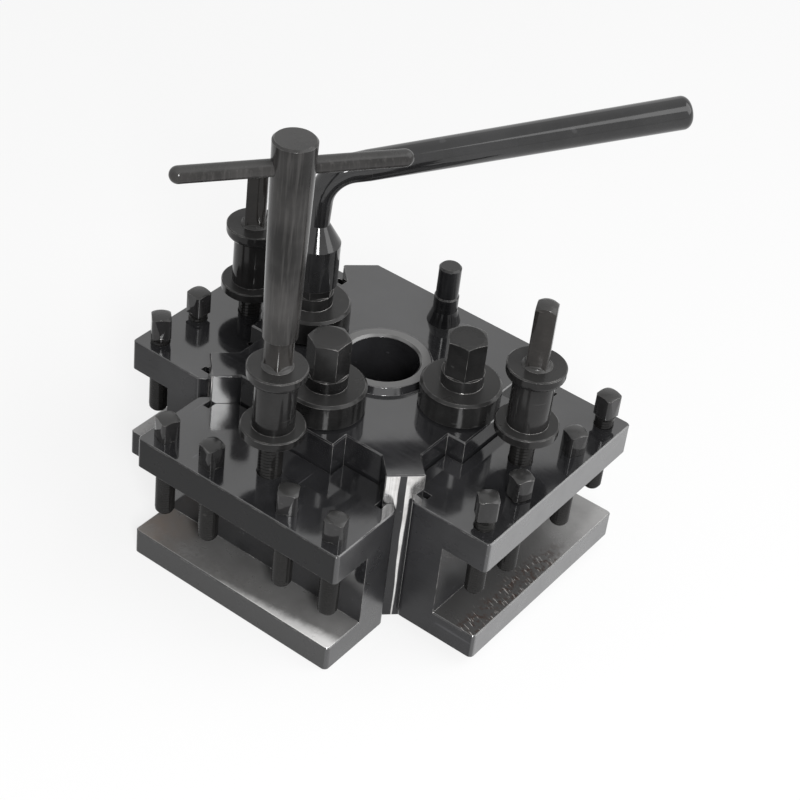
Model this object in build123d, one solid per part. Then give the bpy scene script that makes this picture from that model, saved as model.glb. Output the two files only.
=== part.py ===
from build123d import *
import math
import os

os.makedirs("parts", exist_ok=True)

# Everything is in millimetres, with z up from the underside of the post.
# Each station is drawn facing -Y: p runs along its face, e runs outward from the centre line.

# Post body
body_half = 54.2
body_height = 74.0
corner_cut = 10.4
crest_flat = 0.6
groove_depth = 8.2
land_half = 17.75
body_edge = 0.5
bore_edge = 1.0
boss_height = 3.0
boss_slope = 1.2
boss_wall = 5.0

# Clearances between pieces
running_gap = 0.03
thrust_gap = 0.05
socket_gap = 0.1
flank_gap = 0.1
disc_gap = 0.4
loose_gap = 0.3
rib_gap = 1.0
back_gap = 0.8

# Stations: turn about the centre line and height the holder is set to
stations = {1: (0.0, 0.0), 2: (90.0, 4.5), 3: (-90.0, 4.5)}

# Turns of the loose parts at rest, seen from above
cam_turns = {1: 0.0, 2: 8.0, 3: 0.0}
stud_turns = {1: 82.0, 2: 23.0, 3: 33.0}
clamp_turns = {1: (71.0, 76.0, 32.0, 17.0), 2: (44.0, 66.0, 63.0, 79.0), 3: (20.0, 60.0, 84.0, 46.0)}

# How far the head of each clamping screw stands off its holder
clamp_rises = {1: (0.0, 0.0, 0.0, 0.0), 2: (5.0, 0.8, 0.0, 5.4), 3: (0.0, 0.0, 3.0, 3.0)}

# How far each height screw and its collar are screwed down below the highest ones
stud_drops = {1: 0.0, 2: 0.0, 3: 3.0}

# Cam spindles
cam_inset = 16.2
journal_r = 9.0
tail_r = 4.0
eccentric_r = 5.0
cam_throw = 2.0
cam_rest = 60.0
eccentric_half = 11.5
disc_height = 12.0
disc_edge = 1.0
spindle_neck_r = 8.6
spindle_neck_height = 5.4
hex_flats = 15.0
hex_height = 16.3
hex_edge = 1.0
ring_groove_r = 3.4
ring_out_r = 6.6
ring_low = 1.8
ring_thick = 1.0
ring_mouth = 70.0
tail_low = 0.6
counterbore_r = 8.0
counterbore_depth = 3.0

# Draw bolts
bolt_height = 31.0
bolt_r = 10.0
bolt_behind_cam = 15.6
bolt_window_along = 14.6
bolt_edge = 0.6
head_r = 14.0
head_thick = 4.5
release_gap = 2.1

# Tool holders
holder_inset = 4.2
holder_height = 60.0
holder_depth = 35.15
holder_edge = 0.5
holder_corner_r = 2.0
holder_tip_r = 3.0
tip_gap = 0.2
lip_thick = 4.5
tslot_depth = 7.1
relief_half = 1.5
relief_depth = 3.1
lower_jaw = 12.0
upper_jaw = 14.5
tool_slot_depth = 20.0

# Clamping screws of the holders
clamp_inset = 8.35
clamp_end_inset = 8.0
clamp_inner = 19.0
clamp_r = 4.0
clamp_head_r = 5.0
clamp_square = 8.0
clamp_head_tall = 10.0
clamp_length = 38.2
clamp_tip = 2.2
clamp_edge = 0.8

# Height screws and their collars
stud_behind_slot = 0.45
stud_r = 4.9
stud_hole_depth = 13.0
stud_boss_r = 6.2
stud_boss_tall = 1.5
stud_square = 8.0
stud_tall = 28.7
stud_dome = 1.6
collar_rise = 5.8
collar_flange = 4.0
collar_neck_tall = 22.2
collar_head = 5.5
collar_low_r = 12.7
collar_neck_r = 8.3
collar_upper_r = 11.8
collar_curve = 2.5
collar_edge = 0.4

# Rear stop pin
pin_inset = 12.2
pin_r = 4.75
pin_tall = 27.3
pin_step_r = 5.2
pin_step_tall = 13.0
pin_foot_tall = 6.0
pin_foot_r = 7.1
pin_depth = 16.0
pin_edge = 0.8

# T-wrench
wrench_wall = 0.9
wrench_high_r = 8.2
wrench_rise = 13.6
wrench_tall = 84.0
wrench_edge = 0.8
wrench_mouth_edge = 0.4
bar_r = 3.2
bar_half = 43.5
bar_from_top = 11.0
bar_turn = 54.0

# Cam lever
hub_r = 9.75
hub_tall = 19.0
shoulder_tall = 9.0
lever_neck_r = 4.4
lever_neck_tall = 23.0
lever_bend = 14.0
lever_turn = 54.0
lever_rise = 6.0
lever_length = 150.5
grip_start_r = 6.3
grip_end_r = 7.0
grip_dome = 3.5
lever_socket_depth = 11.7

# Distances outward that follow from the dimensions above
corner_start = body_half - corner_cut
groove_floor = body_half - groove_depth
groove_foot = corner_start - crest_flat - groove_depth
cam_out = body_half - cam_inset
holder_tip_e = body_half + tip_gap
holder_back = body_half + back_gap
holder_face = holder_back + holder_depth
holder_half = body_half - holder_inset
rib_tip = groove_floor + rib_gap
rib_inner = land_half + rib_gap
lip_face = holder_back + lip_thick
tslot_back = lip_face + tslot_depth
slot_wall = holder_face - tool_slot_depth
clamp_out = holder_face - clamp_inset
clamp_end = holder_half - clamp_end_inset
clamp_along = {"a": -clamp_end, "b": -clamp_inner, "c": clamp_inner, "d": clamp_end}
stud_out = slot_wall - stud_behind_slot
disc_r = holder_back - cam_out - 1.5 * disc_gap
boss_base_r = cam_out - disc_r - disc_gap
boss_top_r = boss_base_r - boss_slope
bore_r = boss_top_r - boss_wall
pin_out = body_half - pin_inset
bolt_inner = cam_out - bolt_behind_cam
head_inner = lip_face + release_gap
head_outer = head_inner + head_thick
rest_throw = cam_throw * math.cos(math.radians(cam_rest))

# Heights that follow from the dimensions above
disc_low = body_height + thrust_gap
disc_top = disc_low + disc_height
hex_low = disc_top + spindle_neck_height
hex_top = hex_low + hex_height
eccentric_low = bolt_height - eccentric_half
eccentric_high = bolt_height + eccentric_half
slot_top = holder_height - upper_jaw
highest_lift = max(lift for _, lift in stations.values())
stud_hole_low = holder_height - stud_hole_depth
stud_low = stud_hole_low + highest_lift + max(stud_drops.values()) + loose_gap
collar_low = body_height + collar_rise
collar_neck_low = collar_low + collar_flange
collar_upper = collar_neck_low + collar_neck_tall
collar_top = collar_upper + collar_head
stud_top = collar_top + stud_tall
pin_low = body_height - pin_depth
wrench_low_r = (stud_square / 2 + socket_gap) * math.sqrt(2) + wrench_wall
wrench_low = collar_top + wrench_rise
wrench_high = wrench_low + wrench_tall
bar_height = wrench_high - bar_from_top
hub_low = hex_top + thrust_gap - lever_socket_depth
hub_top = hub_low + hub_tall
shoulder_top = hub_top + shoulder_tall
lever_meet = shoulder_top + lever_neck_tall


def rod(radius, low, high):
    """Upright round bar on the z axis."""
    return Pos(0, 0, low) * Cylinder(radius, high - low, align=(Align.CENTER, Align.CENTER, Align.MIN))


def taper(low_r, high_r, low, high):
    """Upright cone frustum on the z axis."""
    return Pos(0, 0, low) * Cone(low_r, high_r, high - low, align=(Align.CENTER, Align.CENTER, Align.MIN))


def outward_rod(radius, start, end, height):
    """Round bar pointing outward from the centre line."""
    return Pos(0, -start, height) * Rot(90, 0, 0) * rod(radius, 0, end - start)


def block(across, outward, upward):
    """Box given by its limits along the face, outward and upward."""
    middle = Pos(sum(across) / 2, -sum(outward) / 2, sum(upward) / 2)
    return middle * Box(across[1] - across[0], outward[1] - outward[0], upward[1] - upward[0])


def plan(points, low, high):
    """Prism over an outline of (p, e) points."""
    outline = Polygon(*[(p, -e) for p, e in points], align=None)
    return Pos(0, 0, low) * extrude(outline, amount=high - low, dir=(0, 0, 1))


def both_sides(points):
    """Outline made of the given half and its mirror image."""
    return points + [(-p, e) for p, e in reversed(points)]


def turned(points):
    """Solid of revolution about z from an outline of (radius, height) points."""
    outline = Plane.XZ * Polygon(*points, align=None)
    return revolve(outline, Axis.Z)


def square_bar(size, low, high):
    """Upright square bar on the z axis."""
    return Pos(0, 0, (low + high) / 2) * Box(size, size, high - low)


def save(shape, name):
    export_step(shape, "parts/" + name + ".step")


def post_body():
    outline = both_sides([(corner_start, body_half), (body_half, corner_start),
                          (body_half, -corner_start), (corner_start, -body_half)])
    body = plan(outline, 0, body_height)
    past = body_half + 2
    past_foot = groove_foot + past - groove_floor
    for turn, _ in stations.values():
        for side in (-1, 1):
            groove = [(side * land_half, groove_floor), (side * groove_foot, groove_floor),
                      (side * past_foot, past), (side * land_half, past)]
            body -= Rot(0, 0, turn) * plan(groove, -1, body_height + 1)
    body = chamfer(body.faces().sort_by(Axis.Z)[-1].edges(), body_edge)
    body = chamfer(body.faces().sort_by(Axis.Z)[0].edges(), body_edge)
    boss_top = body_height + boss_height
    body += taper(boss_base_r, boss_top_r, body_height, boss_top)
    body -= rod(bore_r, -1, boss_top + 1)
    body -= taper(bore_r, bore_r + bore_edge, boss_top - bore_edge, boss_top)
    for turn, _ in stations.values():
        cuts = outward_rod(bolt_r + running_gap, bolt_inner - cam_throw - disc_gap, past, bolt_height)
        cam_cuts = rod(journal_r + running_gap, eccentric_low - 0.5, body_height + 1)
        cam_cuts += rod(tail_r + running_gap, -1, eccentric_low)
        cam_cuts += rod(counterbore_r, -1, counterbore_depth)
        cuts += Pos(0, -cam_out, 0) * cam_cuts
        body -= Rot(0, 0, turn) * cuts
    body -= Pos(0, pin_out, 0) * rod(pin_r, pin_low, body_height + 1)
    return body


def hex_bar(flats, low, high):
    """Upright hexagon bar with a corner facing outward."""
    outline = RegularPolygon(flats / math.sqrt(3), 6, rotation=90)
    return Pos(0, 0, low) * extrude(outline, amount=high - low)


def cam_spindle(rest_angle):
    """Cam on its own axis, its eccentric turned rest_angle from outward."""
    corner_r = hex_flats / math.sqrt(3)
    cam = rod(tail_r, tail_low, eccentric_low + 1)
    ring_cut = rod(tail_r + 1, ring_low - 0.05, ring_low + ring_thick + 0.05)
    ring_cut -= rod(ring_groove_r, 0, ring_low + ring_thick + 1)
    cam -= ring_cut
    cam += rod(journal_r, eccentric_high, disc_low + 1)
    cam += turned([(0, disc_low), (disc_r - disc_edge, disc_low), (disc_r, disc_low + disc_edge),
                   (disc_r, disc_top - disc_edge), (disc_r - disc_edge, disc_top), (0, disc_top)])
    cam += rod(spindle_neck_r, disc_top - 1, hex_low)
    head = hex_bar(hex_flats, hex_low, hex_top)
    head &= turned([(0, hex_low - 1), (corner_r + 1, hex_low - 1), (corner_r + 1, hex_top - hex_edge),
                    (corner_r - 2 * hex_edge, hex_top), (0, hex_top)])
    cam += Rot(0, 0, rest_angle - cam_rest) * head
    angle = math.radians(rest_angle - 90)
    offset = Pos(cam_throw * math.cos(angle), cam_throw * math.sin(angle), 0)
    cam += offset * rod(eccentric_r, eccentric_low, eccentric_high)
    return cam


def retaining_ring():
    ring = rod(ring_out_r, ring_low, ring_low + ring_thick)
    ring -= rod(ring_groove_r + 0.05, ring_low - 1, ring_low + ring_thick + 1)
    reach = 2 * ring_out_r
    spread = math.radians(ring_mouth / 2)
    mouth = [(0, 0), (reach * math.sin(spread), reach * math.cos(spread)),
             (-reach * math.sin(spread), reach * math.cos(spread))]
    return ring - plan(mouth, ring_low - 1, ring_low + ring_thick + 1)


def draw_bolt(rest_angle):
    """Bolt at the place its eccentric holds it at rest."""
    lead = cam_throw * math.cos(math.radians(rest_angle))
    shift = lead - rest_throw
    bolt = outward_rod(bolt_r, bolt_inner, head_inner + 1, 0)
    bolt += outward_rod(head_r, head_inner, head_outer, 0)
    bolt = chamfer(bolt.faces().sort_by(Axis.Y)[0].edges(), bolt_edge)
    bolt = chamfer(bolt.faces().sort_by(Axis.Y)[-1].edges(), bolt_edge)
    window_e = cam_out + rest_throw
    window_out = eccentric_r + flank_gap
    half = bolt_window_along / 2
    bolt -= block((-half, half), (window_e - window_out, window_e + window_out), (-bolt_r - 1, bolt_r + 1))
    return Pos(0, -shift, bolt_height) * bolt


def round_ends(holder, outward, radius):
    """Round the upright edges of the two ends that lie furthest outward, or furthest inward."""
    uprights = holder.edges().filter_by(Axis.Z)
    at_ends = uprights.filter_by(lambda e: abs(abs(e.center().X) - holder_half) < 0.01)
    return fillet(at_ends.group_by(Axis.Y)[0 if outward else -1], radius)


def tool_holder():
    """Holder standing on z = 0."""
    outer_sum = corner_start + body_half + flank_gap * math.sqrt(2)
    inner_rise = groove_floor - groove_foot + flank_gap * math.sqrt(2)
    tip_cut = (holder_half + holder_tip_e - outer_sum) / 2
    relief_in = corner_start - crest_flat / 2 - relief_half
    relief_out = relief_in + 2 * relief_half
    relief_top = body_half + relief_depth
    half = [(holder_half, holder_face), (holder_half, holder_tip_e),
            (holder_half - tip_cut, holder_tip_e - tip_cut), (relief_out, outer_sum - relief_out),
            (relief_out, relief_top), (relief_in, relief_top), (relief_in, relief_in + inner_rise),
            (rib_tip - inner_rise, rib_tip), (rib_inner, rib_tip), (rib_inner, holder_back)]
    holder = plan(both_sides(half), 0, holder_height)
    holder = round_ends(holder, True, holder_corner_r)
    holder = round_ends(holder, False, holder_tip_r)
    past = holder_half + 10
    holder -= block((-past, past), (slot_wall, holder_face + 1), (lower_jaw, slot_top))
    long_edges = holder.edges().filter_by(Axis.X)
    holder = chamfer(long_edges.filter_by(lambda e: abs(e.center().Y + holder_face) < 0.01), holder_edge)
    neck = block((-bolt_r - 0.5, bolt_r + 0.5), (holder_back - 1, tslot_back), (-1, bolt_height))
    neck += outward_rod(bolt_r + 0.5, holder_back - 1, tslot_back, bolt_height)
    wing = head_r + loose_gap
    head_space = block((-wing, wing), (lip_face, tslot_back), (-1, bolt_height))
    head_space += outward_rod(wing, lip_face, tslot_back, bolt_height)
    holder -= neck + head_space
    holder -= Pos(0, -stud_out, 0) * rod(stud_r + socket_gap, stud_hole_low, holder_height + 1)
    for along in clamp_along.values():
        holder -= Pos(along, -clamp_out, 0) * rod(clamp_r + flank_gap / 2, slot_top - 1, holder_height + 1)
    return holder


def clamp_screw():
    """Screw in a holder standing on z = 0, run down until its head meets the jaw."""
    head_low = holder_height + thrust_gap
    top = head_low + clamp_head_tall
    screw = rod(clamp_r, head_low - clamp_length, head_low + 1)
    screw = fillet(screw.edges().sort_by(Axis.Z)[0], clamp_tip)
    head = square_bar(clamp_square, head_low, top)
    head &= turned([(0, 0), (clamp_head_r, 0), (clamp_head_r, top - clamp_edge),
                    (clamp_head_r - 2 * clamp_edge, top), (0, top)])
    return screw + head


def height_screw():
    screw = rod(stud_r, stud_low, collar_top + 1)
    screw += taper(stud_boss_r, stud_square / 2, collar_top + thrust_gap, collar_top + stud_boss_tall)
    square = square_bar(stud_square, collar_top + thrust_gap, stud_top)
    corner = stud_square / math.sqrt(2)
    square &= turned([(0, 0), (corner + 1, 0), (corner + 1, stud_top - 2 * stud_dome),
                      (stud_square / 2, stud_top - stud_dome / 2), (stud_square / 4, stud_top), (0, stud_top)])
    return screw + square


def height_collar():
    collar = rod(collar_low_r, collar_low, collar_neck_low)
    collar = chamfer(collar.edges(), collar_edge)
    collar += rod(collar_neck_r, collar_neck_low, collar_upper)
    head = rod(collar_upper_r, collar_upper, collar_top)
    head = fillet(head.edges().sort_by(Axis.Z)[0], collar_curve)
    head = chamfer(head.edges().sort_by(Axis.Z)[-1], collar_edge)
    return collar + head - rod(stud_r + thrust_gap, collar_low - 1, collar_top + 1)


def rear_stop_pin():
    step_top = body_height + pin_step_tall
    foot_top = body_height + pin_foot_tall
    top = body_height + pin_tall
    pin = turned([(0, pin_low + loose_gap), (pin_r, pin_low + loose_gap), (pin_r, body_height),
                  (pin_foot_r, body_height), (pin_step_r, foot_top), (pin_step_r, step_top - 0.5),
                  (pin_r, step_top), (pin_r, top - pin_edge), (pin_r - pin_edge, top), (0, top)])
    return Pos(0, pin_out, 0) * pin


def wrench_body():
    """Wrench body on the axis of its stud, with the bar along +X."""
    body = taper(wrench_low_r, wrench_high_r, wrench_low, wrench_high)
    body = chamfer(body.faces().sort_by(Axis.Z)[0].edges(), wrench_mouth_edge)
    body = chamfer(body.faces().sort_by(Axis.Z)[-1].edges(), wrench_edge)
    socket = square_bar(stud_square + 2 * socket_gap, wrench_low - 1, stud_top + thrust_gap)
    body -= Rot(0, 0, stud_turns[1] - bar_turn) * socket
    body -= Pos(0, 0, bar_height) * Rot(0, 90, 0) * rod(bar_r, -wrench_high_r - 1, wrench_high_r + 1)
    return body


def wrench_bar():
    straight = bar_half - bar_r
    bar = rod(bar_r, -straight, straight)
    for side in (-1, 1):
        bar += Pos(0, 0, side * straight) * Sphere(bar_r)
    return Pos(0, 0, bar_height) * Rot(0, 90, 0) * bar


def cam_lever():
    """Lever on its own hub axis with the handle along +X."""
    lever = rod(hub_r, hub_low, hub_top) + taper(hub_r, lever_neck_r, hub_top, shoulder_top)
    rise = math.radians(lever_rise)
    reach = lever_bend * math.tan((math.pi / 2 - rise) / 2)
    start = Vector(0, 0, shoulder_top - 0.5)
    bend_in = Vector(0, 0, lever_meet - reach)
    along = Vector(math.cos(rise), 0, math.sin(rise))
    bend_out = Vector(0, 0, lever_meet) + along * reach
    run_out = bend_out + along * 6
    spine = Line(start, bend_in) + TangentArc(bend_in, bend_out, tangent=(0, 0, 1)) + Line(bend_out, run_out)
    first = Plane(origin=start, z_dir=(0, 0, 1)) * Circle(lever_neck_r)
    last = Plane(origin=run_out, z_dir=along) * Circle(grip_start_r)
    lever += sweep([first, last], path=spine, multisection=True)
    grip = taper(grip_start_r, grip_end_r, reach + 5.5, lever_length + grip_dome)
    grip = fillet(grip.edges().sort_by(Axis.Z)[-1], grip_dome)
    lever += Plane(origin=(0, 0, lever_meet), z_dir=along) * grip
    socket = hex_bar(hex_flats + 2 * socket_gap, hub_low - 1, hex_top + thrust_gap)
    return lever - Rot(0, 0, stations[3][0] + cam_turns[3] - lever_turn) * socket


save(post_body(), "post_body")
save(rear_stop_pin(), "rear_stop_pin")

for number, (turn, lift) in stations.items():
    spin = Rot(0, 0, turn)
    tag = "_" + str(number)
    cam_turn = cam_turns[number]
    save(spin * Pos(0, -cam_out, 0) * cam_spindle(cam_rest + cam_turn), "cam_spindle" + tag)
    save(spin * Pos(0, -cam_out, 0) * Rot(0, 0, cam_turn) * retaining_ring(), "cam_retaining_ring" + tag)
    save(spin * draw_bolt(cam_rest + cam_turn), "draw_bolt" + tag)
    save(spin * Pos(0, 0, lift) * tool_holder(), "tool_holder" + tag)
    screws = zip(clamp_along.items(), clamp_turns[number], clamp_rises[number])
    for (letter, along), head_turn, rise in screws:
        screw = Rot(0, 0, head_turn) * clamp_screw()
        save(spin * Pos(along, -clamp_out, lift + rise) * screw, "clamp_screw" + tag + letter)
    on_stud = spin * Pos(0, -stud_out, -stud_drops[number])
    save(on_stud * Rot(0, 0, stud_turns[number]) * height_screw(), "height_screw" + tag)
    save(on_stud * height_collar(), "height_collar" + tag)

on_stud = Pos(0, -stud_out, 0) * Rot(0, 0, bar_turn)
save(on_stud * wrench_body(), "t_wrench_body")
save(on_stud * wrench_bar(), "t_wrench_bar")
save(Pos(-cam_out, 0, 0) * Rot(0, 0, lever_turn) * cam_lever(), "cam_lever")
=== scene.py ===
import math

import bmesh
import bpy
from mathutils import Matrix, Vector


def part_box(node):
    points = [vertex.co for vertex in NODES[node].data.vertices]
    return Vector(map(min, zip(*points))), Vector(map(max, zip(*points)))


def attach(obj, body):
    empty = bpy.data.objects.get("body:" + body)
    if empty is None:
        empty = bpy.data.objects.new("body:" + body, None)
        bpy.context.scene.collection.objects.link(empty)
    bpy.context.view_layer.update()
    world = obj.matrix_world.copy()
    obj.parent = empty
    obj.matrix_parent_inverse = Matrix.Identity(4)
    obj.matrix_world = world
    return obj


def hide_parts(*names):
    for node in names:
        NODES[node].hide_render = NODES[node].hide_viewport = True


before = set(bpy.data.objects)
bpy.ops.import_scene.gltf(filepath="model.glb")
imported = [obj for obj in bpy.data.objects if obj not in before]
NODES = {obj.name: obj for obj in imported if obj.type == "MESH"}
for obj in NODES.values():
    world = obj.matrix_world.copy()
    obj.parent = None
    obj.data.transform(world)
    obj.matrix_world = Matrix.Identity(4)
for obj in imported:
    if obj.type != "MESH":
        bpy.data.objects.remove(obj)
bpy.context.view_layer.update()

MM = 0.001

# Turn in degrees and height in millimetres of the three holders
STATIONS = {"1": (0.0, 0.0), "2": (90.0, 4.5), "3": (-90.0, 4.5)}

# Places on the post and the holders that their finishes follow, in millimetres.
# CORNER_SUM is x plus y on the post's cut corners.
BODY_TOP = 74.0
BORE_R = 15.0
RING_R = 19.4
CORNER_SUM = 97.9
SLOT_FLOOR = 12.0
SLOT_WALL = 70.15
HOLDER_FACE = 90.15
HOLDER_HALF = 50.0

# Clamping screw: its square head and the plain neck under it.
# A thread's crest is a radius, and its tip is the radius that rounds its lower end.
CLAMP_HEAD = 10.0 * MM
CLAMP_NECK = 1.6 * MM
CLAMP_THREAD = {"crest": 4.0 * MM, "depth": 0.5 * MM, "pitch": 1.25 * MM, "tip": 2.2 * MM}

# Height screw: its thread ends a little way up in the collar, and the CAD stud is kept from above the collar
THREAD_IN_COLLAR = 2.0 * MM
ABOVE_COLLAR = 0.01 * MM
HEIGHT_THREAD = {"crest": 4.9 * MM, "depth": 0.6 * MM, "pitch": 1.5 * MM, "tip": 0.8 * MM}

# One turn of a thread, as shares of its pitch and of its depth
THREAD_SHAPE = ((0.0, 0.0), (0.48, 1.0), (0.52, 1.0), (0.99, 0.0))
THREAD_SIDES = 28
INTO_HEAD = 0.3 * MM
SHARP_ANGLE = 32.0
WELD = 1e-6
FINE_WELD = 1e-7

# How fine the patterns of the finishes are, as features per metre
CLOUDS = 30.0
SMUDGES = 75.0
GRIT = 620.0
RUBBED_SPOTS = 190.0
BLOTCHES = 90.0
STAINS = 120.0
RUST_SPECKS = 520.0
RAGGED = (240.0, 240.0, 240.0)
WANDER = (90.0, 90.0, 25.0)
UPRIGHT_MARKS = (1500.0, 1500.0, 18.0)
GRAIN_IN_X = (70.0, 1100.0, 1100.0)
GRAIN_IN_Y = (1100.0, 70.0, 1100.0)

# Colours
BLACK = (0.021, 0.021, 0.0225)
BARE = (0.56, 0.545, 0.53)
LIGHTER_RING = (0.086, 0.085, 0.084)
GROUND_DARK = (0.66, 0.65, 0.64)
GROUND_LIGHT = (0.93, 0.92, 0.91)
GROUND_STAIN = (0.20, 0.17, 0.15)
# Slot floor colours: painted shade at the back, painted light at the front and at the far end, and oil
SLOT_BACK = (1.0, 0.99, 0.98)
SLOT_FRONT = (1.0, 0.985, 0.97)
SLOT_FAR = (0.36, 0.355, 0.35)
SLOT_OIL = (0.03, 0.029, 0.028)
# Bare wear on the slot's lip, with a painted highlight
LIP_WEAR_AND_HIGHLIGHT = (0.90, 0.89, 0.88)
RUST = (0.050, 0.036, 0.031)
TAN = (0.17, 0.135, 0.112)
NICK = (0.50, 0.48, 0.46)
WHITE = (1.0, 1.0, 1.0)
PAPER = (0.92, 0.92, 0.92)

# Stage, in metres and degrees, with the camera's sensor and lens in millimetres
FLOOR_HALF = 6.0
FLOOR_DROP = 0.0002
FLOOR_COVER = 0.8
SOFT_LIGHT = 0.38
CAMERA_PLACE = (0.35819, -0.54320, 0.56916)
CAMERA_TURN = (51.52755, -5.72890, 37.15109)
CAMERA_SENSOR = 36.0
CAMERA_LENS = 91.0745
CAMERA_CLIP = 0.05


# Node helpers

class Nodes:
    """Short helper that builds and links the nodes of a material or a world."""

    def __init__(self, owner, output):
        owner.use_nodes = True
        self.tree = owner.node_tree
        self.tree.nodes.clear()
        self.out = self.add(output)

    def add(self, kind, inputs=None, **props):
        node = self.tree.nodes.new(kind)
        for key, value in props.items():
            setattr(node, key, value)
        for key, value in (inputs or {}).items():
            self.put(node.inputs[key], value)
        return node

    def put(self, socket, value):
        if isinstance(value, bpy.types.NodeSocket):
            self.tree.links.new(value, socket)
        else:
            socket.default_value = value

    def math(self, operation, a, b=0.0, clamp=False):
        return self.add("ShaderNodeMath", {0: a, 1: b}, operation=operation, use_clamp=clamp).outputs[0]

    def times(self, *values):
        result = values[0]
        for value in values[1:]:
            result = self.math("MULTIPLY", result, value)
        return result

    def plus(self, a, b):
        return self.math("ADD", a, b)

    def minus(self, a, b):
        return self.math("SUBTRACT", a, b)

    def larger(self, a, b):
        return self.math("MAXIMUM", a, b)

    def size(self, value):
        return self.math("ABSOLUTE", value)

    def noise(self, vector, scale, detail=4.0, rough=0.55):
        inputs = {"Vector": vector, "Scale": scale, "Detail": detail, "Roughness": rough}
        return self.add("ShaderNodeTexNoise", inputs).outputs["Fac"]

    def stretched(self, vector, scale, detail=2.0, rough=0.6):
        """Noise stretched by a different scale along each axis."""
        mapped = self.add("ShaderNodeMapping", {"Vector": vector, "Scale": scale}).outputs[0]
        return self.noise(mapped, 1.0, detail, rough)

    def remap(self, value, low, high, to_low=0.0, to_high=1.0, smooth=False):
        """Value taken from low..high to to_low..to_high, and held beyond. Low may be above high."""
        inputs = {"Value": value, "From Min": low, "From Max": high, "To Min": to_low, "To Max": to_high}
        kind = "SMOOTHSTEP" if smooth else "LINEAR"
        return self.add("ShaderNodeMapRange", inputs, interpolation_type=kind).outputs["Result"]

    def mix(self, factor, a, b):
        """Mix of two colours."""
        return self.add("ShaderNodeMix", {0: factor, 6: rgba(a), 7: rgba(b)}, data_type="RGBA").outputs[2]

    def blend(self, factor, a, b):
        """Mix of two numbers."""
        return self.add("ShaderNodeMix", {0: factor, 2: a, 3: b}, data_type="FLOAT").outputs[0]


def rgba(color):
    return color + (1.0,) if isinstance(color, tuple) else color


def scaled(color, by):
    return tuple(c * by for c in color)


def axes(n, place, turn=0.0, lift=0.0):
    """Distance along the face, outward and up of a station, in millimetres."""
    mapped = n.add("ShaderNodeMapping", {
        "Vector": place, "Rotation": (0.0, 0.0, math.radians(-turn)), "Scale": (1 / MM, 1 / MM, 1 / MM),
        "Location": (0.0, 0.0, -lift)}).outputs[0]
    along, inward, up = n.add("ShaderNodeSeparateXYZ", {"Vector": mapped}).outputs
    return along, n.times(inward, -1.0), up


# Materials

def worn_rim(n, place, rounded, wear):
    """How bare the steel is rubbed along its edges, which is where the rounded normal leaves the flat one."""
    flat = n.add("ShaderNodeNewGeometry").outputs["Normal"]
    dot = n.add("ShaderNodeVectorMath", {0: rounded, 1: flat}, operation="DOT_PRODUCT").outputs["Value"]
    rim = n.remap(dot, 0.985, 0.88)
    patchy = n.remap(n.noise(place, RUBBED_SPOTS, 5.0, 0.6), 0.43, 0.62, 0.08, 1.0)
    return n.math("MULTIPLY", n.times(rim, patchy), wear, clamp=True)


def steel(name, tone=BLACK, rough=0.09, wear=0.75, grain=(900.0, 900.0, 60.0), edge=0.32 * MM, ior=1.83,
          level=0.5, streak=0.22, cloud=0.35, painted_top_light=0.0, patch=None):
    """Blackened steel with a mottled tone, oily smudges, grinding grain, scratches and edges rubbed bare.

    The grain is finest along the axes with the highest numbers. painted_top_light is a lighter tone painted
    on faces that look up, a painted highlight of the light from above, and patch adds what is particular to a
    piece.
    """
    mat = bpy.data.materials.new(name)
    n = Nodes(mat, "ShaderNodeOutputMaterial")
    place = n.add("ShaderNodeTexCoord").outputs["Object"]
    cloudy = n.noise(place, CLOUDS, 5.0)
    smudge = n.noise(place, SMUDGES, 3.0, 0.5)
    grit = n.noise(place, GRIT, 3.0)
    lines = n.stretched(place, grain, 2.0, 0.7)
    scratch = n.remap(n.stretched(place, scaled(grain, 0.45), 1.0, 0.5), 0.735, 0.78)
    base = n.mix(n.remap(cloudy, 0.36, 0.66), scaled(tone, 1.0 - cloud), scaled(tone, 1.0 + cloud))
    base = n.mix(n.remap(lines, 0.5, 0.8, 0.0, streak), base, scaled(tone, 2.2))
    base = n.mix(n.times(scratch, 0.35), base, scaled(tone, 5.0))
    shine = n.remap(smudge, 0.35, 0.68, rough * 0.7, rough * 1.35)
    shine = n.plus(shine, n.remap(lines, 0.5, 0.8, 0.0, rough * 0.5))
    metal = 0.0
    # Faces that look up get a painted highlight: a lighter tone standing for the light from above, with a
    # rougher finish
    if painted_top_light:
        facing = n.add("ShaderNodeNewGeometry").outputs["True Normal"]
        upward = n.add("ShaderNodeSeparateXYZ", {"Vector": facing}).outputs[2]
        upper = n.times(n.remap(upward, 0.55, 0.8), n.remap(cloudy, 0.3, 0.6, 0.6, 1.0))
        base = n.mix(upper, base, (painted_top_light, 0.985 * painted_top_light, 0.97 * painted_top_light))
        shine = n.blend(upper, shine, 0.3)
    if patch:
        base, shine, metal, level = patch(n, place, base, shine)
    rounded = n.add("ShaderNodeBevel", {"Radius": edge}, samples=6).outputs[0]
    if wear:
        rubbed = worn_rim(n, place, rounded, wear)
        base = n.mix(rubbed, base, BARE)
        shine = n.blend(rubbed, shine, 0.28)
        metal = n.larger(metal, rubbed)
    relief = n.plus(n.times(grit, 0.5), n.plus(lines, n.times(scratch, -1.2)))
    bump = {"Strength": 0.1, "Distance": 0.02 * MM, "Height": relief, "Normal": rounded}
    normal = n.add("ShaderNodeBump", bump).outputs[0]
    shader = n.add("ShaderNodeBsdfPrincipled", {
        "Base Color": base, "Metallic": metal, "Roughness": shine, "Normal": normal, "IOR": ior,
        "Specular IOR Level": level})
    n.put(n.out.inputs["Surface"], shader.outputs[0])
    return mat


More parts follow.
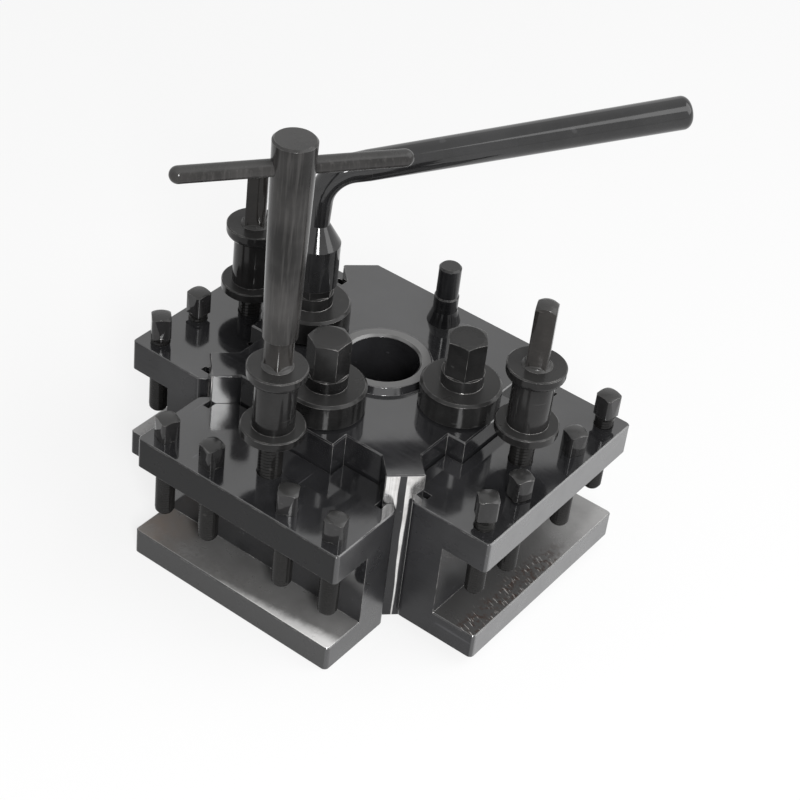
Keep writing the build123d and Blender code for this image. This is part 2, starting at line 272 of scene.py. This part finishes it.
def lighter_ring(n, along, out, up, base, shine):
    """The raised ring around the post's bore has a lighter colour and a rougher finish."""
    reach = n.math("SQRT", n.plus(n.times(along, along), n.times(out, out)))
    ring = n.times(n.remap(reach, RING_R + 0.2, RING_R - 0.2), n.remap(up, BODY_TOP + 0.1, BODY_TOP + 0.3),
                   n.remap(reach, BORE_R, BORE_R + 0.2))
    return n.mix(ring, base, LIGHTER_RING), n.blend(ring, shine, 0.26)


def front_corner_dark_reflection(n, place, along, out, up):
    """Painted dark reflection on the front corner: an upright stripe, and the side beyond a bright line."""
    across = n.times(n.minus(along, out), math.sqrt(0.5))
    wander = n.remap(n.stretched(place, WANDER, 3.0, 0.6), 0.3, 0.7, -0.35, 0.35)
    at = n.plus(across, wander)
    stripe_left = n.larger(n.remap(at, -2.3, -2.0), n.remap(up, 60.0, 57.0))
    stripe = n.times(stripe_left, n.remap(at, 1.1, 0.8))
    line_end = n.plus(n.remap(up, 5.0, 62.0, 1.3, 2.5), n.remap(up, 62.0, 68.0, 0.0, 6.0))
    side = n.remap(n.minus(at, line_end), -0.1, 0.3)
    on_front = n.times(n.remap(along, -5.0, 5.0), n.remap(out, -5.0, 5.0))
    return n.times(on_front, n.larger(stripe, side))


def post_finish(n, place, base, shine):
    """The post's ring is lighter, and its cut corners are ground bright, with upright marks and stains; the
    front corner carries a painted dark reflection.
    """
    along, out, up = axes(n, place)
    base, shine = lighter_ring(n, along, out, up, base, shine)
    total = n.plus(n.size(along), n.size(out))
    corner = n.times(n.remap(total, CORNER_SUM - 0.35, CORNER_SUM - 0.15),
                     n.remap(up, BODY_TOP - 0.4, BODY_TOP - 0.6))
    # The front corner's dark upright stripe and dark side are a painted reflection, with a lower level there
    black = n.times(corner, front_corner_dark_reflection(n, place, along, out, up))
    bright = n.minus(corner, black)
    marks = n.stretched(place, UPRIGHT_MARKS, 3.0, 0.7)
    stain = n.remap(n.noise(place, STAINS, 4.0), 0.45, 0.7)
    ground = n.mix(n.remap(marks, 0.3, 0.7), GROUND_DARK, GROUND_LIGHT)
    ground = n.mix(n.times(stain, 0.35), ground, GROUND_STAIN)
    base = n.mix(bright, base, ground)
    shine = n.blend(bright, shine, n.remap(marks, 0.3, 0.7, 0.10, 0.26))
    return base, shine, bright, n.remap(black, 0.0, 1.0, 0.5, 0.15)


def holder_finish(turn, lift, painted_floor_light, lip, far, rust, tan, face, face_level, end_level, jaw=None):
    """Tool slot and outer faces of a holder, rougher than the rest and carrying painted light and shade.

    painted_floor_light is how light the slot's floor is painted, a painted light that differs from holder to
    holder.
    lip, far, rust and tan say how strongly its lip carries bare wear and a painted highlight, how much
    painted light falls on its far end, how strongly it is specked with rust and nicks, and how brown its near
    end is. face is the tone of the outer faces, and jaw that of the lower jaw where it has one of its own;
    both are painted light and shade, set per holder. The two levels say how much the outer faces and the
    holder's ends reflect, and they too are set per holder to darken or lighten these faces as shade and light
    would.
    """

    def patch(n, place, base, shine):
        along, out, up = axes(n, place, turn, lift)
        floor = n.times(n.remap(n.size(n.minus(up, SLOT_FLOOR)), 0.12, 0.08),
                        n.remap(out, SLOT_WALL + 0.05, SLOT_WALL + 0.25))
        depth = n.minus(HOLDER_FACE, out)
        blotch = n.noise(place, BLOTCHES, 5.0, 0.6)
        # Painted shade darkens the slot floor towards its back wall under the jaw, and painted light
        # brightens it towards the lip and the open far end; the dark blotches are oil
        floor_light_and_oil = n.mix(n.remap(depth, 19.0, 2.0), scaled(SLOT_BACK, 0.66 * painted_floor_light),
                      scaled(SLOT_FRONT, painted_floor_light))
        floor_light_and_oil = n.mix(n.times(n.remap(along, -12.0, HOLDER_HALF, smooth=True), far), floor_light_and_oil, SLOT_FAR)
        floor_light_and_oil = n.mix(n.remap(blotch, 0.3, 0.7, 0.0, 0.3), floor_light_and_oil, SLOT_OIL)
        base = n.mix(floor, base, floor_light_and_oil)

        # The band along the lip is bare wear and a painted highlight; it widens towards the far end, with a
        # ragged edge
        ragged = n.remap(n.stretched(place, RAGGED, 4.0, 0.65), 0.3, 0.7, -0.8, 0.8)
        width = n.plus(n.remap(along, -24.0, 48.0, -0.3, 8.5), ragged)
        lip_wear_and_highlight = n.times(n.remap(n.minus(width, depth), -0.6, 5.5, smooth=True), floor)
        base = n.mix(n.times(lip_wear_and_highlight, lip), base, LIP_WEAR_AND_HIGHLIGHT)

        # Rust specks and short slanted nicks lie near the lip, where tools go in
        used = n.times(n.remap(depth, 11.0, 7.0), n.remap(depth, 0.2, 1.2), n.remap(along, 22.0, 4.0))
        speck = n.times(floor, n.remap(n.noise(place, RUST_SPECKS, 5.0, 0.7), 0.50, 0.58), rust, used)
        base = n.mix(speck, base, RUST)
        brown = n.times(floor, n.remap(along, -20.0, -46.0, smooth=True), n.remap(blotch, 0.3, 0.6), tan)
        base = n.mix(brown, base, TAN)
        slanted = n.times(n.plus(along, n.times(out, 0.35)), 2.6)
        short = n.add("ShaderNodeCombineXYZ", {"X": slanted, "Y": n.times(out, 0.22), "Z": 0.0}).outputs[0]
        nick = n.times(n.remap(n.noise(short, 1.0, 1.5, 0.5), 0.655, 0.69), used, floor, rust)
        base = n.mix(nick, base, NICK)

        ends = n.remap(n.size(along), HOLDER_HALF - 0.3, HOLDER_HALF - 0.1)
        outer = n.remap(out, HOLDER_FACE - 0.3, HOLDER_FACE - 0.1)
        # The outer faces' tone, and the lower jaw's own where it has one, is painted light and shade, set per
        # holder
        face_painted_light = (face, face, 1.03 * face)
        if jaw:
            lower = n.remap(up, SLOT_FLOOR + 0.5, SLOT_FLOOR - 0.5)
            face_painted_light = n.mix(lower, face_painted_light, (jaw, jaw, jaw))
        base = n.mix(n.times(outer, 0.9), base, face_painted_light)
        satin_shine = n.remap(blotch, 0.3, 0.7, 0.24, 0.36)
        shine = n.blend(n.larger(floor, n.larger(outer, ends)), shine, satin_shine)
        level = n.blend(ends, n.remap(outer, 0.0, 1.0, 0.5, face_level), end_level)
        return base, shine, n.times(lip_wear_and_highlight, lip, 0.1), level

    return patch


# Per holder: the slot floor, the lip's highlight, the far end, the outer faces, the lower jaw and the levels
# are painted light and shade, lighter where more light falls; rust, nicks and tan are real marks
HOLDER_LOOKS = {
    "1": dict(painted_floor_light=0.21, lip=1.0, far=0.15, rust=0.15, tan=0.8, face=0.016, face_level=0.06,
              end_level=0.5, jaw=0.075),
    "2": dict(painted_floor_light=0.075, lip=0.12, far=0.6, rust=1.0, tan=0.0, face=0.10, face_level=0.7,
              end_level=0.12),
    "3": dict(painted_floor_light=0.11, lip=0.35, far=0.4, rust=0.5, tan=0.4, face=0.020, face_level=0.3,
              end_level=0.12),
}
flat_steel = steel("ground_black", grain=GRAIN_IN_X, patch=post_finish)
holder_steel = {}
for tag, (turn, lift) in STATIONS.items():
    holder_steel["tool_holder_" + tag] = steel(
        "holder_black_" + tag, grain=GRAIN_IN_X if turn else GRAIN_IN_Y,
        patch=holder_finish(turn, lift, **HOLDER_LOOKS[tag]))
turned_steel = steel("turned_black", scaled(BLACK, 0.8), rough=0.10, grain=(120.0, 120.0, 1800.0), wear=0.7,
                     ior=1.5, level=0.3, cloud=0.5, painted_top_light=0.035)
hexagon_steel = steel("hexagon_black", (0.016, 0.0158, 0.0158), rough=0.12, grain=(500.0, 500.0, 1100.0),
                      wear=0.8, ior=1.6, level=0.17, cloud=0.7, painted_top_light=0.033)
collar_steel = steel("collar_black", (0.0155, 0.0151, 0.0151), rough=0.10, grain=(140.0, 140.0, 1800.0),
                     wear=0.85, ior=1.6, level=0.17, cloud=0.55, painted_top_light=0.032)
screw_steel = steel("screw_black", (0.020, 0.0195, 0.020), rough=0.08, grain=(500.0, 500.0, 900.0), wear=0.9,
                    edge=0.2 * MM, ior=1.6, level=0.3, painted_top_light=0.035)
thread_steel = steel("thread_black", (0.013, 0.0125, 0.0122), rough=0.08, grain=(500.0, 500.0, 900.0),
                     wear=0.0, edge=0.03 * MM, ior=1.6, level=0.16)
stud_steel = steel("stud_brown", (0.022, 0.0202, 0.0188), rough=0.12, grain=(400.0, 400.0, 1100.0), wear=0.5,
                   edge=0.2 * MM, ior=1.5, level=0.25, painted_top_light=0.05)
wrench_steel = steel("wrench_black", (0.032, 0.0306, 0.0298), rough=0.16, grain=(700.0, 700.0, 35.0),
                     wear=0.7, ior=1.45, level=0.28, streak=0.7, cloud=0.6, painted_top_light=0.055)
lever_steel = steel("lever_black", (0.014, 0.014, 0.0145), rough=0.07, grain=(300.0, 300.0, 300.0), wear=0.3,
                    ior=1.6, level=0.42)
bright_steel = steel("bare_steel", (0.30, 0.295, 0.29), rough=0.28, wear=0.3, cloud=0.15)
spring_steel = steel("spring_steel", (0.09, 0.09, 0.092), rough=0.3, wear=0.4)

FINISHES = {
    "post_body": flat_steel, "rear_stop_pin": turned_steel, "cam_spindle": hexagon_steel,
    "cam_retaining_ring": spring_steel, "draw_bolt": bright_steel, "clamp_screw": screw_steel,
    "height_screw": stud_steel, "height_collar": collar_steel, "t_wrench": wrench_steel,
    "cam_lever": lever_steel, **holder_steel,
}
for node_name, node_object in NODES.items():
    finish = next(mat for start, mat in FINISHES.items() if node_name.startswith(start))
    node_object.data.materials.clear()
    node_object.data.materials.append(finish)


# Screws with real threads stand in for the plain CAD ones

def thread_column(share, low, high, crest, depth, pitch, tip):
    """(radius, height) points up one side of the thread, where it has climbed this share of its pitch."""
    column = []
    turns = int((high - low) / pitch) + 2
    for turn in range(-1, turns):
        for at, rise in THREAD_SHAPE:
            z = min(max(low + (turn + at + share) * pitch, low), high)
            reach = crest - depth * (1.0 - rise)
            if z < low + tip:
                rounded = math.sqrt(max(0.0, tip ** 2 - (low + tip - z) ** 2))
                reach = min(reach, crest - tip + rounded)
            if z >= high:
                reach = crest - depth
            column.append((reach, z))
    return column


def add_thread(bm, centre, low, high, plain_to, crest, depth, pitch, tip):
    """Threaded bar with a rounded lower end, and a plain stretch above the thread."""
    plain = [(crest, high + depth), (crest, plain_to)]
    columns = []
    for i in range(THREAD_SIDES):
        angle = math.tau * i / THREAD_SIDES
        column = thread_column(i / THREAD_SIDES, low, high, crest, depth, pitch, tip) + plain
        columns.append([bm.verts.new((centre.x + r * math.cos(angle), centre.y + r * math.sin(angle), z))
                        for r, z in column])
    rows = len(columns[0]) - len(plain)
    for i in range(THREAD_SIDES):
        left, right = columns[i], columns[(i + 1) % THREAD_SIDES]

        # The last side joins the first one a turn further up
        ahead = len(THREAD_SHAPE) if i + 1 == THREAD_SIDES else 0
        for j in range(rows - 1 - ahead):
            bm.faces.new((left[j], right[j + ahead], right[j + 1 + ahead], left[j + 1]))
        for j in range(rows - 1, len(left) - 1):
            bm.faces.new((left[j], right[j], right[j + 1], left[j + 1]))
    bm.faces.new([column[0] for column in reversed(columns)])
    bm.faces.new([column[-1] for column in columns])


def threaded_screw(node, body, mat, head_low, low, high, sizes):
    """The CAD screw's own head over a shank that is threaded from low to high."""
    bm = bmesh.new()
    bm.from_mesh(NODES[node].data)
    shank = [v for v in bm.verts if v.co.z < head_low - WELD]
    middle = sum((v.co for v in shank), Vector()) / len(shank)
    bmesh.ops.delete(bm, geom=shank, context="VERTS")
    bmesh.ops.remove_doubles(bm, verts=bm.verts, dist=WELD)
    bmesh.ops.holes_fill(bm, edges=[e for e in bm.edges if e.is_boundary], sides=0)
    head = set(bm.faces)
    add_thread(bm, middle, low, high, head_low + INTO_HEAD, **sizes)
    for face in bm.faces:
        face.material_index = 0 if face in head else 1
    bmesh.ops.remove_doubles(bm, verts=bm.verts, dist=FINE_WELD)
    bmesh.ops.recalc_face_normals(bm, faces=bm.faces)
    mesh = bpy.data.meshes.new(node + "_threaded")
    bm.to_mesh(mesh)
    bm.free()
    mesh.polygons.foreach_set("use_smooth", [True] * len(mesh.polygons))
    mesh.set_sharp_from_angle(angle=math.radians(SHARP_ANGLE))
    mesh.materials.append(mat)
    mesh.materials.append(thread_steel)
    piece = bpy.data.objects.new(node + "_threaded", mesh)
    bpy.context.collection.objects.link(piece)
    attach(piece, body)
    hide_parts(node)


for tag in STATIONS:
    for letter in "abcd":
        node = "clamp_screw_" + tag + letter
        low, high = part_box(node)
        head_low = high.z - CLAMP_HEAD
        threaded_screw(node, "clamp_" + tag + letter, screw_steel, head_low,
                       low.z, head_low - CLAMP_NECK, CLAMP_THREAD)
    node = "height_screw_" + tag
    low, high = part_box(node)
    collar_low, collar_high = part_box("height_collar_" + tag)
    threaded_screw(node, "height_" + tag, stud_steel, collar_high.z + ABOVE_COLLAR,
                   low.z, collar_low.z + THREAD_IN_COLLAR, HEIGHT_THREAD)


# Stage: white floor, white surroundings, two soft lamps and the camera

def seen(n):
    """1 where the camera sees something straight, in a reflection or through glass, and 0 elsewhere."""
    rays = n.add("ShaderNodeLightPath").outputs
    return n.larger(rays["Is Camera Ray"], n.larger(rays["Is Glossy Ray"], rays["Is Transmission Ray"]))


def add_floor():
    mesh = bpy.data.meshes.new("floor")
    h = FLOOR_HALF
    mesh.from_pydata([(-h, -h, 0), (h, -h, 0), (h, h, 0), (-h, h, 0)], [], [(0, 1, 2, 3)])
    floor = bpy.data.objects.new("floor", mesh)
    bpy.context.collection.objects.link(floor)
    floor.location.z = -FLOOR_DROP
    mat = bpy.data.materials.new("floor_white")
    n = Nodes(mat, "ShaderNodeOutputMaterial")
    paper = n.add("ShaderNodeBsdfDiffuse", {"Color": rgba(PAPER)}).outputs[0]
    glow = n.add("ShaderNodeEmission", {"Color": rgba(WHITE), "Strength": 1.0}).outputs[0]
    cover = n.add("ShaderNodeMixShader", {0: n.times(seen(n), FLOOR_COVER), 1: paper, 2: glow}).outputs[0]
    n.put(n.out.inputs["Surface"], cover)
    mesh.materials.append(mat)


def add_world():
    world = bpy.data.worlds.new("world")
    bpy.context.scene.world = world
    n = Nodes(world, "ShaderNodeOutputWorld")
    soft = n.add("ShaderNodeBackground", {"Color": rgba(WHITE), "Strength": SOFT_LIGHT}).outputs[0]
    white = n.add("ShaderNodeBackground", {"Color": rgba(WHITE), "Strength": 1.0}).outputs[0]
    either = n.add("ShaderNodeMixShader", {0: seen(n), 1: soft, 2: white}).outputs[0]
    n.put(n.out.inputs["Surface"], either)


def add_softbox(name, place, aim, size, power):
    light = bpy.data.lights.new(name, "AREA")
    light.shape = "RECTANGLE"
    light.size, light.size_y = size
    light.energy = power
    lamp = bpy.data.objects.new(name, light)
    bpy.context.collection.objects.link(lamp)
    lamp.location = place
    lamp.rotation_euler = (Vector(aim) - Vector(place)).to_track_quat("-Z", "Y").to_euler()


def add_camera():
    camera = bpy.data.objects.new("camera", bpy.data.cameras.new("camera"))
    bpy.context.collection.objects.link(camera)
    camera.location = CAMERA_PLACE
    camera.rotation_euler = [math.radians(a) for a in CAMERA_TURN]
    camera.data.sensor_width = CAMERA_SENSOR
    camera.data.lens = CAMERA_LENS
    camera.data.clip_start = CAMERA_CLIP
    bpy.context.scene.camera = camera


add_floor()
add_world()
add_softbox("key", (0.90, 0.50, 0.95), aim=(0.05, 0.0, 0.0), size=(1.3, 1.3), power=11.5)
add_softbox("front", (0.60, -0.64, 0.63), aim=(0.0, 0.0, 0.09), size=(0.17, 0.30), power=6.5)
add_camera()
bpy.context.scene.view_settings.view_transform = "Standard"
